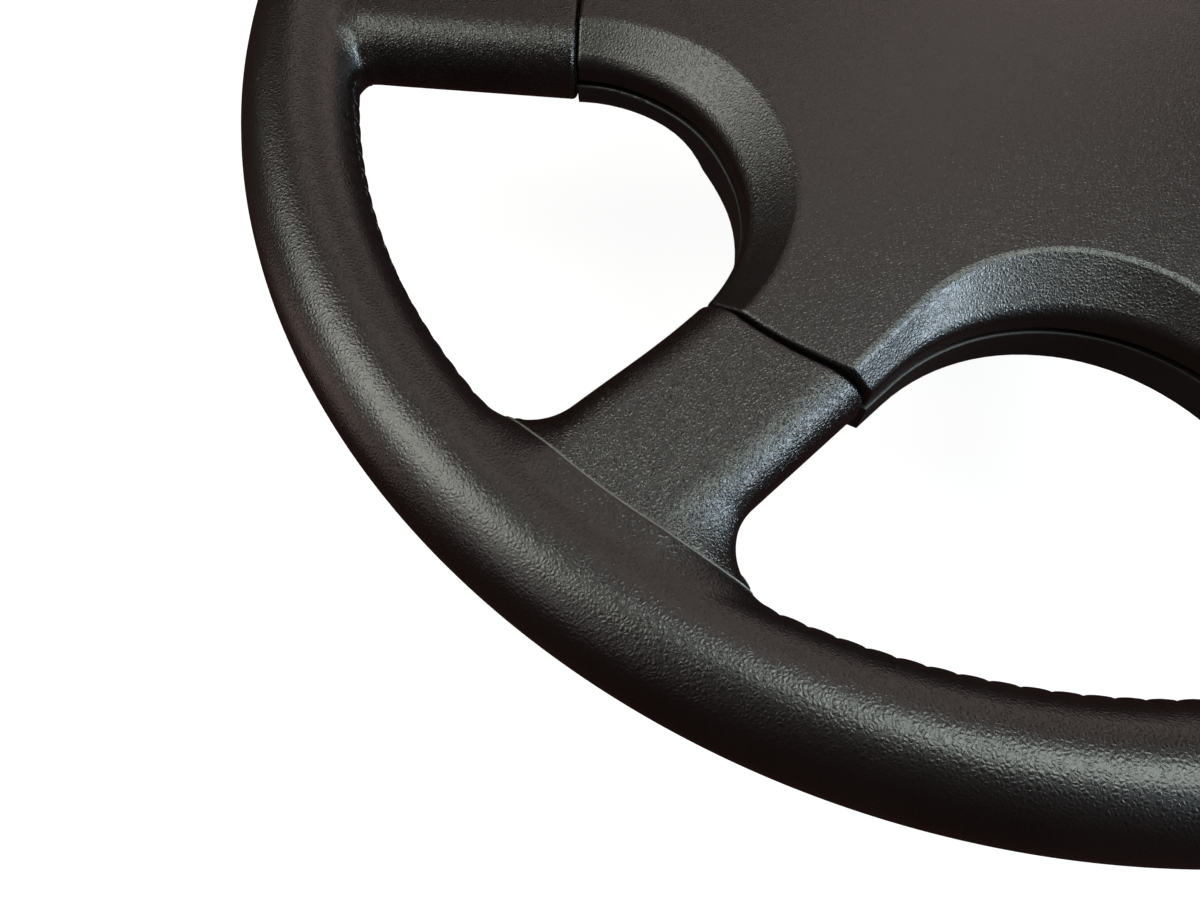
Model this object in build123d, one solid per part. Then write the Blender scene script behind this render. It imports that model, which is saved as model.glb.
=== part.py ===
from build123d import *
import os
from math import atan2, cos, hypot, pi, radians, sin, sqrt, tan

# Four-spoke, leather-wrapped steering wheel with a floating horn pad.
# Z is the steering axis and points at the driver, +Y is twelve o'clock, +X is the driver's right.
# The origin lies on the axis in the plane of the rear collar's edge, on which the wheel rests.
# All sizes are in millimetres and degrees.

# Rim
rim_outer_diameter = 390.0
grip_diameter = 28.0
rim_core_diameter = 12.0
rim_height = 80.0
leather_thickness = 1.2

# Spokes
upper_spoke_width = 47.0
upper_spoke_drop = 3.0
lower_spoke_width = 41.0
lower_spoke_angle = 46.0
lower_spoke_crossing = 37.0
spoke_thickness = 21.0
spoke_edge_radius = 9.5
spoke_root_radius = 12.0
spoke_end_gap = 0.8
seam_gap = 0.2

# Horn pad
pad_half_width = 109.0
pad_end_radius = 117.0
pad_top = 76.0
pad_top_half_width = 70.0
pad_shoulder_half_width = 84.0
pad_shoulder_radius = 30.0
pad_corner_radius = 27.0
side_scallop_radius = 38.0
bottom_scallop_depth = 88.0
pad_wall = 3.5
pad_step = 0.6
pad_crown_rise = 2.4
pad_crown_radius = 2500.0
pad_crown_drop = 10.0
pad_edge_radius = 2.5
pad_end_edge_radius = 0.8
band_foot_radius = 4.0
band_width = 9.0
band_inner_width = 5.0
band_height = 5.6
pad_wall_shown = 5.3
horn_travel = 1.2

# Rear cover
cover_gap = 0.3
cover_wall = 2.0
cover_proud = 0.6
cover_edge_radius = 0.6
ledge_width = 8.5
ledge_thickness = 1.5
tongue_height = 3.0
drum_top_radius = 86.0
drum_bottom_radius = 56.0
drum_corner_radius = 6.0
drum_throat_radius = 6.0
collar_radius = 46.0
collar_wall = 2.5
slip_thickness = 3.0
slip_width = 6.0

# Armature and hub
arm_width = 15.0
arm_thickness = 8.0
arm_run = 30.0
upper_arm_start = 49.0
lower_arm_start = 14.0
hub_plate_radius = 40.0
hub_plate_thickness = 10.0
hub_boss_radius = 21.0
hub_rear = 4.0
insert_radius = 15.0
insert_length = 22.0
bore_radius = 10.0
bore_plain_length = 9.0
serration_count = 36
serration_depth = 0.7
serration_step = 0.4
lug_radius = 7.5

# Horn carrier and its posts
post_circle_radius = 48.5
post_angles = (60.0, 120.0, 208.0, 332.0)
post_radius = 3.0
post_head_radius = 6.0
post_head_height = 3.0
spring_length = 18.8
spring_wire_radius = 0.6
spring_turns = 6
bush_flange = 1.2
carrier_thickness = 2.0
carrier_inner_edge = 12.5
carrier_outer_edge = 8.5
carrier_ear_radius = 8.0
standoff_x = 47.0
standoff_y = 24.0

# Airbag module
tray_drop = 17.0
tray_sheet = 1.5
tray_half_width = 56.5
tray_front = 56.0
tray_corner_radius = 14.0
tray_flange_height = 15.0
inflator_radius = 30.0
inflator_drop = 22.0
inflator_rise = 17.0
stud_circle_radius = 37.0
tray_back = -stud_circle_radius - 9.0

# Levels that follow from the sizes above
rim_radius = (rim_outer_diameter - grip_diameter) / 2
rim_seam_radius = rim_radius - grip_diameter / 2 - 1.5
spoke_top = rim_height + spoke_thickness / 2
spoke_floor = rim_height - spoke_thickness / 2
band_top = spoke_top + pad_step
band_bottom = band_top - band_height
crown_top = band_top + pad_crown_rise
pad_foot = band_bottom - pad_wall_shown
cover_top = pad_foot - horn_travel - cover_gap
tray_level = rim_height - tray_drop
inflator_bottom = tray_level - inflator_drop
plate_top = inflator_bottom - 7.0
plate_bottom = plate_top - hub_plate_thickness
drum_bottom = plate_bottom - 10.0
carrier_bottom = plate_top + spring_length + bush_flange
carrier_top = carrier_bottom + carrier_thickness

slope = radians(lower_spoke_angle)
along_lower = (-cos(slope), -sin(slope))
across_lower = (-sin(slope), cos(slope))


def lower_point(distance, side=0.0):
    """Point on the left lower spoke, by distance from the crossing and offset to its outer side."""
    x = distance * along_lower[0] + side * across_lower[0]
    y = -lower_spoke_crossing + distance * along_lower[1] + side * across_lower[1]
    return (x, y)


def lower_reach(radius):
    """Distance along a lower spoke's centre line at which it is at this radius from the axis."""
    lean = lower_spoke_crossing * sin(slope)
    return -lean + sqrt(lean**2 - lower_spoke_crossing**2 + radius**2)


def crossing(a, b):
    """Meeting point of two lines, each given as a point and a direction."""
    (ax, ay), (adx, ady) = a
    (bx, by), (bdx, bdy) = b
    k = ((bx - ax) * bdy - (by - ay) * bdx) / (adx * bdy - ady * bdx)
    return (ax + k * adx, ay + k * ady)


def rounded_wire(corners):
    """Closed wire through corners (x, y, radius), with an arc at each corner that has a radius."""
    count = len(corners)
    starts = []
    ends = []
    arcs = []
    for i, (x, y, radius) in enumerate(corners):
        px, py, _ = corners[i - 1]
        nx, ny, _ = corners[(i + 1) % count]
        before = (px - x, py - y)
        after = (nx - x, ny - y)
        before = (before[0] / hypot(*before), before[1] / hypot(*before))
        after = (after[0] / hypot(*after), after[1] / hypot(*after))
        if radius == 0:
            starts.append((x, y))
            ends.append((x, y))
            arcs.append(None)
            continue
        half = atan2(abs(before[0] * after[1] - before[1] * after[0]),
                     before[0] * after[0] + before[1] * after[1]) / 2
        setback = radius / tan(half)
        bisector = (before[0] + after[0], before[1] + after[1])
        size = hypot(*bisector)
        depth = radius / sin(half) - radius
        starts.append((x + setback * before[0], y + setback * before[1]))
        ends.append((x + setback * after[0], y + setback * after[1]))
        arcs.append((x + depth * bisector[0] / size, y + depth * bisector[1] / size))
    edges = []
    for i in range(count):
        if arcs[i]:
            edges.append(Edge.make_three_point_arc(starts[i], arcs[i], ends[i]))
        edges.append(Edge.make_line(ends[i], starts[(i + 1) % count]))
    return Wire(edges)


def pad_outline(inset, band, level):
    """Scalloped pad outline at a height, with arms that run past their ends.

    The inset moves every edge inwards. The band is 0 on the wall and 1 on the ridge above it.
    """
    side = inset + band * band_width
    inner = inset + band * band_inner_width
    reach = pad_end_radius + 30
    arm_low = -upper_spoke_drop - upper_spoke_width / 2 + side
    arm_high = -upper_spoke_drop + upper_spoke_width / 2 - side
    outer_edge = (lower_point(0, lower_spoke_width / 2 - side), along_lower)
    inner_edge = (lower_point(0, inner - lower_spoke_width / 2), along_lower)
    side_corner = crossing(((0, arm_low), (1, 0)), outer_edge)
    bottom_corner = crossing(inner_edge, ((0, 0), (0, 1)))
    apex = -bottom_scallop_depth + inset + band * (band_width + 0.3)
    bottom_radius = (bottom_corner[1] - apex) / (1 / cos(slope) - 1)
    lean = atan2(pad_top - arm_high, pad_shoulder_half_width - pad_top_half_width)
    shift = side / sin(lean)
    shoulder = ((-pad_shoulder_half_width + shift, arm_high + side), (cos(lean), sin(lean)))
    shoulder_corner = crossing(shoulder, ((0, arm_high), (1, 0)))
    top_corner = crossing(shoulder, ((0, pad_top - side), (1, 0)))
    left = [
        (top_corner[0], top_corner[1], pad_corner_radius - side),
        (shoulder_corner[0], shoulder_corner[1], pad_shoulder_radius + side),
        (-reach, arm_high, 0),
        (-reach, arm_low, 0),
        (side_corner[0], side_corner[1], side_scallop_radius + side),
        (*lower_point(reach, lower_spoke_width / 2 - side), 0),
        (*lower_point(reach, inner - lower_spoke_width / 2), 0),
    ]
    bottom = [(bottom_corner[0], bottom_corner[1], bottom_radius)]
    right = [(-x, y, r) for x, y, r in reversed(left)]
    return Pos(0, 0, level) * rounded_wire(left + bottom + right)


def pad_ends(extra=0.0):
    """Space between the ends of the four arms."""
    height = 4 * rim_height
    slab = Box(2 * (pad_half_width + extra), 4 * rim_radius, height)
    return slab & Cylinder(pad_end_radius + extra, height)


def pad_body(inset):
    """Solid pad with its sloped band and crowned top, before the arms are cut to length."""
    over = 2 * (crown_top - band_bottom)
    foot = Solid.extrude(Face(pad_outline(inset, 0, pad_foot - inset)), Vector(0, 0, band_bottom - pad_foot))
    reach = (crown_top + 3 - band_bottom) / band_height
    base = band_bottom - inset
    low = pad_outline(inset, 0, base)
    high = pad_outline(inset, reach, base + reach * band_height)
    band = Solid.make_loft([low, high], ruled=True)
    ball = Pos(0, -pad_crown_drop, crown_top - inset - pad_crown_radius) * Sphere(pad_crown_radius)
    block = Pos(0, 0, crown_top - over) * Box(6 * pad_end_radius, 6 * pad_end_radius, 4 * over)
    return (Part() + foot + band) & (block & ball)


def ring_edges(part, low, high, reach):
    """Edges of the scalloped outline between two heights, without those at the arms' far ends."""
    found = []
    for edge in part.edges():
        box = edge.bounding_box()
        mid = edge @ 0.5
        if low < box.min.Z and box.max.Z < high and hypot(mid.X, mid.Y) < reach:
            found.append(edge)
    return found


def on_arm_end(edge):
    """Whether an edge lies on the end of one of the pad's arms."""
    for share in (0.0, 0.5, 1.0):
        point = edge @ share
        plane_gap = abs(abs(point.X) - pad_half_width)
        round_gap = abs(hypot(point.X, point.Y) - pad_end_radius)
        if min(plane_gap, round_gap) > 0.01:
            return False
    return True


def group(items):
    """One compound from single solids."""
    return Compound([solid for item in items for solid in item.solids()])


def lower_place(level):
    """Place on the left lower spoke's crossing whose X axis runs along that spoke."""
    return Pos(0, -lower_spoke_crossing, level) * Rot(0, 0, 180 + lower_spoke_angle)


def upper_place(level):
    """Place on the axis whose X axis runs along the left upper spoke."""
    return Pos(0, -upper_spoke_drop, level) * Rot(0, 0, 180)


# Foam and leather share one form, which is drawn at two sizes.
def wrapped_half(skin):
    """Left half of the rim with its two spokes, made smaller all over by the skin."""
    tube = grip_diameter / 2 - skin
    ring = Rot(0, 0, 90) * revolve(Plane.XZ * Pos(rim_radius, rim_height) * Circle(tube), Axis.Z, 180)
    thickness = spoke_thickness - 2 * skin
    edge = min(spoke_edge_radius, 0.46 * spoke_thickness) - skin
    upper = RectangleRounded(upper_spoke_width - 2 * skin, thickness, edge)
    lower = RectangleRounded(lower_spoke_width - 2 * skin, thickness, edge)
    inner = 0.6 * pad_end_radius
    bars = [
        upper_place(rim_height) * extrude(Plane.YZ.offset(inner) * upper, rim_radius - inner),
        lower_place(rim_height) * extrude(Plane.YZ.offset(inner) * lower, lower_reach(rim_radius) - inner),
    ]
    half = ring + bars[0] + bars[1]
    roots = [edge for face in half.faces().filter_by(GeomType.TORUS)
             for wire in face.inner_wires() for edge in wire.edges()]
    return half.solid().fillet(spoke_root_radius + skin, roots)


spoke_space = pad_ends(spoke_end_gap)
outer_half = wrapped_half(0)
core_half = wrapped_half(leather_thickness)
leather_half = (Part() + outer_half) - core_half - spoke_space
rim_leather_half = leather_half - Cylinder(rim_seam_radius + seam_gap / 2, 4 * rim_height)
spoke_zone = Cylinder(rim_seam_radius - seam_gap / 2, 4 * rim_height)
spoke_leather = (leather_half & spoke_zone).solids().sort_by(Axis.Y)
rim_leather = rim_leather_half + mirror(rim_leather_half, Plane.YZ)
foam_half = (Part() + core_half) - spoke_space
foam_block = foam_half + mirror(foam_half, Plane.YZ)

# Armature: hub plate with lugs, four cranked arms and the rim core
def arm(start, end):
    """Cranked arm along +X that climbs from the hub plate to the rim plane."""
    low = plate_top - arm_thickness / 2 - 1
    rise = rim_height - low
    mitre = arm_thickness / 2 * tan(atan2(rise, arm_run) / 2)
    half = arm_thickness / 2
    corners = [
        (0, low + half), (start - mitre, low + half), (start + arm_run - mitre, rim_height + half),
        (end, rim_height + half), (end, rim_height - half), (start + arm_run + mitre, rim_height - half),
        (start + mitre, low - half), (0, low - half),
    ]
    profile = make_face(Polyline(*corners, close=True))
    return extrude(Plane.XZ * profile, arm_width / 2, both=True)


def at_angle(radius, angle, level):
    """Place at a radius and angle round the axis."""
    return Pos(radius * cos(radians(angle)), radius * sin(radians(angle)), level)


core_ring = Rot(0, 0, 90) * revolve(
    Plane.XZ * Pos(rim_radius, rim_height) * Circle(rim_core_diameter / 2), Axis.Z, 180)
armature_half = core_ring
armature_half += upper_place(0) * arm(upper_arm_start, rim_radius)
armature_half += lower_place(0) * arm(lower_arm_start, lower_reach(rim_radius))
plate_mid = (plate_top + plate_bottom) / 2
armature = armature_half + mirror(armature_half, Plane.YZ)
armature += Pos(0, 0, plate_mid) * Cylinder(hub_plate_radius, hub_plate_thickness)
boss_length = plate_bottom - hub_rear
armature += Pos(0, 0, hub_rear + boss_length / 2) * Cylinder(hub_boss_radius, boss_length)
contact_angle = 90.0
for angle in post_angles + (contact_angle,):
    lug = at_angle(post_circle_radius, angle, plate_mid) * Cylinder(lug_radius, hub_plate_thickness)
    bridge = Rot(0, 0, angle) * Pos(post_circle_radius / 2, 0, plate_mid) * Box(
        post_circle_radius, 1.7 * lug_radius, hub_plate_thickness)
    armature += lug + bridge
insert_top = hub_rear + insert_length
armature -= Pos(0, 0, hub_rear + insert_length / 2) * Cylinder(insert_radius, insert_length)
armature -= Pos(0, 0, insert_top + 50) * Cylinder(insert_radius + 1.5, 100)

# Hub insert: steel sleeve with a plain pilot and a serrated length above it
hub_insert = Pos(0, 0, hub_rear + insert_length / 2) * Cylinder(insert_radius, insert_length)
hub_insert -= Pos(0, 0, hub_rear + insert_length / 2) * Cylinder(bore_radius, insert_length)
land_radius = bore_radius + serration_step
hub_insert -= Pos(0, 0, hub_rear + bore_plain_length) * extrude(Circle(land_radius), insert_length)
tooth_tip = land_radius + serration_depth
tooth_half = 0.66 * pi * land_radius / serration_count
groove = make_face(Polyline((land_radius - 1, -1.6 * tooth_half), (tooth_tip, -0.25 * tooth_half),
                            (tooth_tip, 0.25 * tooth_half), (land_radius - 1, 1.6 * tooth_half), close=True))
serration = extrude(Pos(0, 0, hub_rear + bore_plain_length) * groove, insert_length)
for i in range(serration_count):
    hub_insert -= Rot(0, 0, 360 * i / serration_count) * serration

# Horn posts, springs and bushes
post_hole = 2.5
posts = []
springs = []
bushes = []
for angle in post_angles:
    armature -= at_angle(post_circle_radius, angle, plate_mid) * Cylinder(post_hole, 2 * hub_plate_thickness)
    shank = carrier_top + bush_flange - plate_top
    post = at_angle(post_circle_radius, angle, plate_top + shank / 2) * Cylinder(post_radius, shank)
    post += at_angle(post_circle_radius, angle, plate_mid) * Cylinder(post_hole - 0.05, hub_plate_thickness)
    head = at_angle(post_circle_radius, angle, plate_top + shank + post_head_height / 2)
    post += head * Cylinder(post_head_radius, post_head_height)
    post -= head * Pos(0, 0, 1) * extrude(RegularPolygon(2.5, 6), post_head_height)
    posts.append(post)
    bush_length = carrier_thickness + 2 * bush_flange
    bush = Pos(0, 0, -bush_length / 2) * extrude(Circle(post_radius + 1.2), bush_length)
    bush += Pos(0, 0, -bush_length / 2) * extrude(Circle(post_head_radius), bush_flange)
    bush += Pos(0, 0, bush_length / 2) * extrude(Circle(post_head_radius), -bush_flange)
    bush -= Cylinder(post_radius + 0.05, 2 * bush_length)
    bushes.append(at_angle(post_circle_radius, angle, carrier_bottom + carrier_thickness / 2) * bush)
    coil_radius = post_radius + 0.5 + 2 * spring_wire_radius
    coil_length = spring_length - 2 * spring_wire_radius
    path = Helix(coil_length / spring_turns, coil_length, coil_radius)
    wire = Plane(origin=path @ 0, z_dir=path % 0) * Circle(spring_wire_radius)
    coil = sweep(wire, path, is_frenet=True)
    springs.append(at_angle(post_circle_radius, angle, plate_top + spring_wire_radius) * coil)

# Horn contact in its insulating bush
contact_hole = 4.2
contact_place = at_angle(post_circle_radius, contact_angle, 0)
armature -= contact_place * Pos(0, 0, plate_mid) * Cylinder(contact_hole, 2 * hub_plate_thickness)
contact_tip = carrier_bottom - horn_travel - 0.1
stud = contact_place * Pos(0, 0, (plate_bottom - 2 + contact_tip) / 2) * Cylinder(
    2.4, contact_tip - plate_bottom + 2)
cap = extrude(Circle(4.0), -3)
stud += contact_place * Pos(0, 0, contact_tip) * fillet(cap.edges().sort_by(Axis.Z)[-1:], 1.4)
sleeve = Pos(0, 0, plate_mid) * Cylinder(contact_hole - 0.05, hub_plate_thickness)
sleeve += Pos(0, 0, plate_top + 1) * Cylinder(contact_hole + 1.8, 2)
sleeve -= Pos(0, 0, plate_mid) * Cylinder(2.45, 4 * hub_plate_thickness)
contact_insulator = contact_place * sleeve

# Horn carrier with its spacers and screws
carrier_mid = carrier_bottom + carrier_thickness / 2
carrier = Pos(0, 0, carrier_mid) * Cylinder(post_circle_radius + carrier_outer_edge, carrier_thickness)
carrier -= Pos(0, 0, carrier_mid) * Cylinder(post_circle_radius - carrier_inner_edge, 2 * carrier_thickness)
for angle in post_angles:
    carrier -= at_angle(post_circle_radius, angle, carrier_mid) * Cylinder(
        post_radius + 1.25, 2 * carrier_thickness)
notch_start = lower_arm_start + 4
notch = lower_place(carrier_mid) * Pos(notch_start + 50, 0, 0) * Box(100, arm_width + 4, 2 * carrier_thickness)
carrier = carrier - notch - mirror(notch, Plane.YZ)
screw_radius = 2.9
standoffs = []
module_screws = []
screw_head = 4.0
screw_head_radius = 5.0
screw_length = tray_level + tray_sheet + 6 - carrier_bottom
for x in (-standoff_x, standoff_x):
    carrier += Pos(x, standoff_y, carrier_mid) * Cylinder(carrier_ear_radius, carrier_thickness)
    carrier -= Pos(x, standoff_y, carrier_mid) * Cylinder(screw_radius + 0.3, 8 * carrier_thickness)
    height = tray_level - carrier_top
    spacer = Pos(x, standoff_y, carrier_top + height / 2) * (Cylinder(6, height) - Cylinder(screw_radius + 0.3, height))
    standoffs.append(spacer)
    screw = Pos(x, standoff_y, carrier_bottom) * extrude(Circle(screw_radius), screw_length)
    screw += Pos(x, standoff_y, carrier_bottom) * extrude(RegularPolygon(screw_head_radius, 6), -screw_head)
    module_screws.append(screw)

# Airbag module: tray, inflator, clamp ring, nuts and folded cushion
tray_depth = tray_front - tray_back
tray_centre = (tray_front + tray_back) / 2


def tray_block(grow, low, high):
    """Rounded block in the tray's outline, grown all round."""
    outline = RectangleRounded(2 * (tray_half_width + grow), tray_depth + 2 * grow, tray_corner_radius + grow)
    return extrude(Pos(0, tray_centre, low) * outline, high - low)


tray_top = tray_level + tray_flange_height
tray = tray_block(0, tray_level, tray_top) - tray_block(-tray_sheet, tray_level + tray_sheet, tray_top + 1)
tray -= Pos(0, 0, tray_level) * Cylinder(inflator_radius + 0.3, 10 * tray_sheet)
weld_nut = 5.0
for x in (-standoff_x, standoff_x):
    tray += Pos(x, standoff_y, tray_level + tray_sheet) * extrude(RegularPolygon(6.0, 6), weld_nut)
    tray -= Pos(x, standoff_y, tray_level) * Cylinder(screw_radius + 0.05, 6 * weld_nut)
stud_angles = (45.0, 135.0, 225.0, 315.0)
flange_thickness = 2.0
flange_radius = stud_circle_radius + 4.4
inflator = Pos(0, 0, inflator_bottom) * extrude(Circle(inflator_radius), inflator_drop + inflator_rise)
inflator = fillet(inflator.edges().filter_by(GeomType.CIRCLE), 3.0)
inflator += Pos(0, 0, tray_level) * extrude(Circle(flange_radius), -flange_thickness)
inflator += Pos(0, 0, inflator_bottom - 1) * extrude(Circle(11), 2)
ring_thickness = 1.5
ring_bottom = tray_level + tray_sheet
clamp_ring = Pos(0, 0, ring_bottom) * extrude(Circle(stud_circle_radius + 6) - Circle(inflator_radius + 1), ring_thickness)
stud_radius = 2.4
nut_height = 4.0
nuts = []
for angle in stud_angles:
    place = at_angle(stud_circle_radius, angle, 0)
    stud_foot = tray_level - flange_thickness - nut_height - 0.4
    clamp_ring += place * Pos(0, 0, stud_foot) * extrude(Circle(stud_radius), ring_bottom - stud_foot + 1)
    tray -= place * Pos(0, 0, tray_level) * Cylinder(stud_radius + 0.2, 4 * tray_sheet)
    inflator -= place * Pos(0, 0, tray_level) * Cylinder(stud_radius + 0.2, 4 * flange_thickness)
    nut = place * Pos(0, 0, tray_level - flange_thickness) * extrude(
        RegularPolygon(4.4, 6) - Circle(stud_radius + 0.05), -nut_height)
    nuts.append(nut)
cushion_low = ring_bottom + ring_thickness + 0.2
cushion_high = spoke_top - pad_wall + 1
cushion = tray_block(-tray_sheet - 0.5, cushion_low, cushion_high)
cushion = fillet(cushion.edges().group_by(Axis.Z)[-1], 5.0)
inflator_top = tray_level + inflator_rise
cushion -= extrude(Pos(0, 0, cushion_low - 1) * Circle(inflator_radius + 0.5), inflator_top - cushion_low + 1.5)
for x in (-standoff_x, standoff_x):
    cushion -= Pos(x, standoff_y, cushion_low - 1) * extrude(Circle(7.5), weld_nut + 4)

# Horn pad cover: scalloped shell with a frame inside that grips the tray
pad_outer = pad_body(0)
arm_limit = pad_end_radius + 28
ridge = ring_edges(pad_outer, band_bottom + 1, crown_top, arm_limit)
pad_outer = pad_outer.solid().fillet(pad_edge_radius, ridge)
band_foot = ring_edges(pad_outer, band_bottom - 0.2, band_bottom + 0.2, arm_limit)
pad_outer = Part() + pad_outer.fillet(band_foot_radius, band_foot)
pad_outer = pad_outer & pad_ends()
end_edges = [edge for edge in pad_outer.edges() if on_arm_end(edge) and edge.bounding_box().max.Z > pad_foot + 0.1]
pad_outer = Part() + pad_outer.solid().fillet(pad_end_edge_radius, end_edges)
pad_cover = pad_outer - pad_body(pad_wall)
frame_gap = 0.15
frame_wall = 3.0
frame_foot = tray_level + 3.5
frame = tray_block(frame_gap + frame_wall, frame_foot, crown_top) - tray_block(
    frame_gap, frame_foot - 1, crown_top + 1)
frame_top = frame & pad_body(pad_wall / 2)
pad_cover += frame_top + (frame & Pos(0, 0, band_bottom - 50) * Box(1000, 1000, 100))

# Rivets through the frame and the tray's flange
rivet_radius = 2.0
rivet_level = tray_level + 0.6 * tray_flange_height
rivets = []
grip = frame_wall + frame_gap + tray_sheet
rivet = Cylinder(rivet_radius, grip)
rivet += Pos(0, 0, grip / 2) * extrude(Circle(3.6), 1.3)
rivet += Pos(0, 0, -grip / 2) * extrude(Circle(3.2), -1.0)
rivet_hole = Cylinder(rivet_radius + 0.05, 4 * grip)
reach = (frame_wall + frame_gap - tray_sheet) / 2
spread = 0.6
sites = []
for k in (-spread, spread):
    across = k * tray_half_width
    along = tray_centre + k * tray_depth / 2
    sites.append(Pos(across, tray_front + reach, rivet_level) * Rot(-90, 0, 0))
    sites.append(Pos(across, tray_back - reach, rivet_level) * Rot(90, 0, 0))
    sites.append(Pos(tray_half_width + reach, along, rivet_level) * Rot(0, 90, 0))
    sites.append(Pos(-tray_half_width - reach, along, rivet_level) * Rot(0, -90, 0))
for site in sites:
    pad_cover -= site * rivet_hole
    tray -= site * rivet_hole
    cushion -= site * Cylinder(4.0, grip + 4)
    rivets.append(site * rivet)

# Rear cover: scalloped tray that runs into a drum and a collar
def cover_body(shrink):
    """Solid behind the pad, made smaller all over by the shrink."""
    far = 2 * pad_end_radius
    profile = [
        (0, cover_top + shrink), (far, cover_top + shrink), (far, spoke_floor + shrink),
        (drum_top_radius - shrink, spoke_floor + shrink), (drum_bottom_radius - shrink, drum_bottom + shrink),
        (0, drum_bottom + shrink),
    ]
    outline = make_face(Polyline(*profile, close=True))
    corners = outline.vertices().sort_by(Axis.Y)
    belly = [v for v in corners if abs(v.X - drum_bottom_radius + shrink) < 0.01]
    throat = [v for v in corners if abs(v.X - drum_top_radius + shrink) < 0.01]
    outline = fillet(belly, drum_corner_radius - shrink)
    throat = [v for v in outline.vertices() if abs(v.X - drum_top_radius + shrink) < 0.01]
    outline = fillet(throat, drum_throat_radius + shrink)
    turned = revolve(Plane.XZ * outline, Axis.Z)
    wall = Face(pad_outline(shrink - cover_proud, 0, drum_bottom - 1))
    prism = Solid.extrude(wall, Vector(0, 0, cover_top - drum_bottom + 10))
    return turned & (Part() + prism)


def cover_rib(outer, inner, low, high):
    """Rib that follows the outline between two insets and two heights."""
    height = Vector(0, 0, high - low)
    rib = Part() + Solid.extrude(Face(pad_outline(outer, 0, low)), height)
    return rib - Solid.extrude(Face(pad_outline(inner, 0, low)), height)


# A ledge and a tongue inside the wall close the gap below the pad to sight and dust.
cover_outer = cover_body(0)
cover_rim = ring_edges(cover_outer, cover_top - 0.1, cover_top + 0.1, arm_limit)
rear_cover = Part() + cover_outer.solid().fillet(cover_edge_radius, cover_rim) - cover_body(cover_wall)
ledge_level = cover_top - ledge_thickness
rear_cover += cover_rib(cover_wall / 2, ledge_width, ledge_level, cover_top)
rear_cover += cover_rib(ledge_width - ledge_thickness, ledge_width, ledge_level, cover_top + tongue_height)
rear_cover &= pad_ends()
collar_height = drum_bottom + cover_wall
collar_hole = collar_radius - collar_wall
rear_cover += Pos(0, 0, collar_height / 2) * Cylinder(collar_radius, collar_height)
rear_cover -= Pos(0, 0, collar_height / 2) * Cylinder(collar_hole, 4 * collar_height)
for x in (-standoff_x, standoff_x):
    rear_cover -= Pos(x, standoff_y, plate_bottom) * Cylinder(screw_head_radius + 0.8, 2 * hub_plate_thickness)

# Screws from behind through the cover into the arms
shank_radius = 1.9
arm_under = rim_height - arm_thickness / 2
cover_screw_radius = pad_end_radius - 19
upper_site = (-cover_screw_radius, -upper_spoke_drop)
lower_site = lower_point(lower_reach(cover_screw_radius))
cover_screws = []
for x, y in (upper_site, lower_site, (-upper_site[0], upper_site[1]), (-lower_site[0], lower_site[1])):
    boss_height = arm_under - spoke_floor
    rear_cover += Pos(x, y, spoke_floor) * extrude(Circle(5.5), boss_height)
    rear_cover -= Pos(x, y, spoke_floor) * Cylinder(shank_radius + 0.3, 4 * boss_height)
    armature -= Pos(x, y, arm_under) * Cylinder(shank_radius + 0.05, 12)
    screw = Pos(x, y, spoke_floor) * extrude(Circle(shank_radius), boss_height + 5)
    head = Pos(x, y, spoke_floor) * extrude(Circle(4.2), -2.6)
    head = fillet(head.edges().sort_by(Axis.Z)[:1], 1.0)
    head -= Pos(x, y, spoke_floor - 2.6) * extrude(RegularPolygon(2.2, 6), 1.6)
    cover_screws.append(screw + head)

# Plate that closes the collar round the hub boss and carries the horn's brass slip ring
slip_level = drum_bottom + cover_wall
slip_plate = Pos(0, 0, slip_level) * extrude(Circle(collar_hole + 2) - Circle(hub_boss_radius + 0.3), slip_thickness)
slip_inner = hub_boss_radius + 8
slip_ring = Pos(0, 0, slip_level - 1.2) * extrude(Circle(slip_inner + slip_width) - Circle(slip_inner), 2.2)
slip_slot = Circle(slip_inner + slip_width + 0.1) - Circle(slip_inner - 0.1)
slip_plate -= Pos(0, 0, slip_level) * extrude(slip_slot, 1.05)

rim_foam = foam_block - armature

parts = {
    "armature": armature,
    "hub_insert": hub_insert,
    "rim_foam": rim_foam,
    "rim_leather": rim_leather,
    "spoke_leather_left": spoke_leather[1],
    "spoke_leather_right": mirror(spoke_leather[1], Plane.YZ),
    "spoke_leather_lower_left": spoke_leather[0],
    "spoke_leather_lower_right": mirror(spoke_leather[0], Plane.YZ),
    "rear_cover": rear_cover,
    "rear_cover_screws": group(cover_screws),
    "pad_cover": pad_cover,
    "module_tray": tray,
    "inflator": inflator,
    "cushion": cushion,
    "cushion_ring": clamp_ring,
    "inflator_nuts": group(nuts),
    "cover_rivets": group(rivets),
    "horn_carrier": carrier,
    "horn_standoffs": group(standoffs),
    "module_screws": group(module_screws),
    "horn_bushes": group(bushes),
    "horn_posts": group(posts),
    "horn_springs": group(springs),
    "horn_contact": stud,
    "contact_insulator": contact_insulator,
    "slip_plate": slip_plate,
    "slip_ring": slip_ring,
}

os.makedirs("parts", exist_ok=True)
for name, shape in parts.items():
    export_step(shape, f"parts/{name}.step")
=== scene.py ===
import math
from collections import namedtuple

import bmesh
import bpy
import numpy as np
from mathutils import Matrix, Vector


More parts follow.
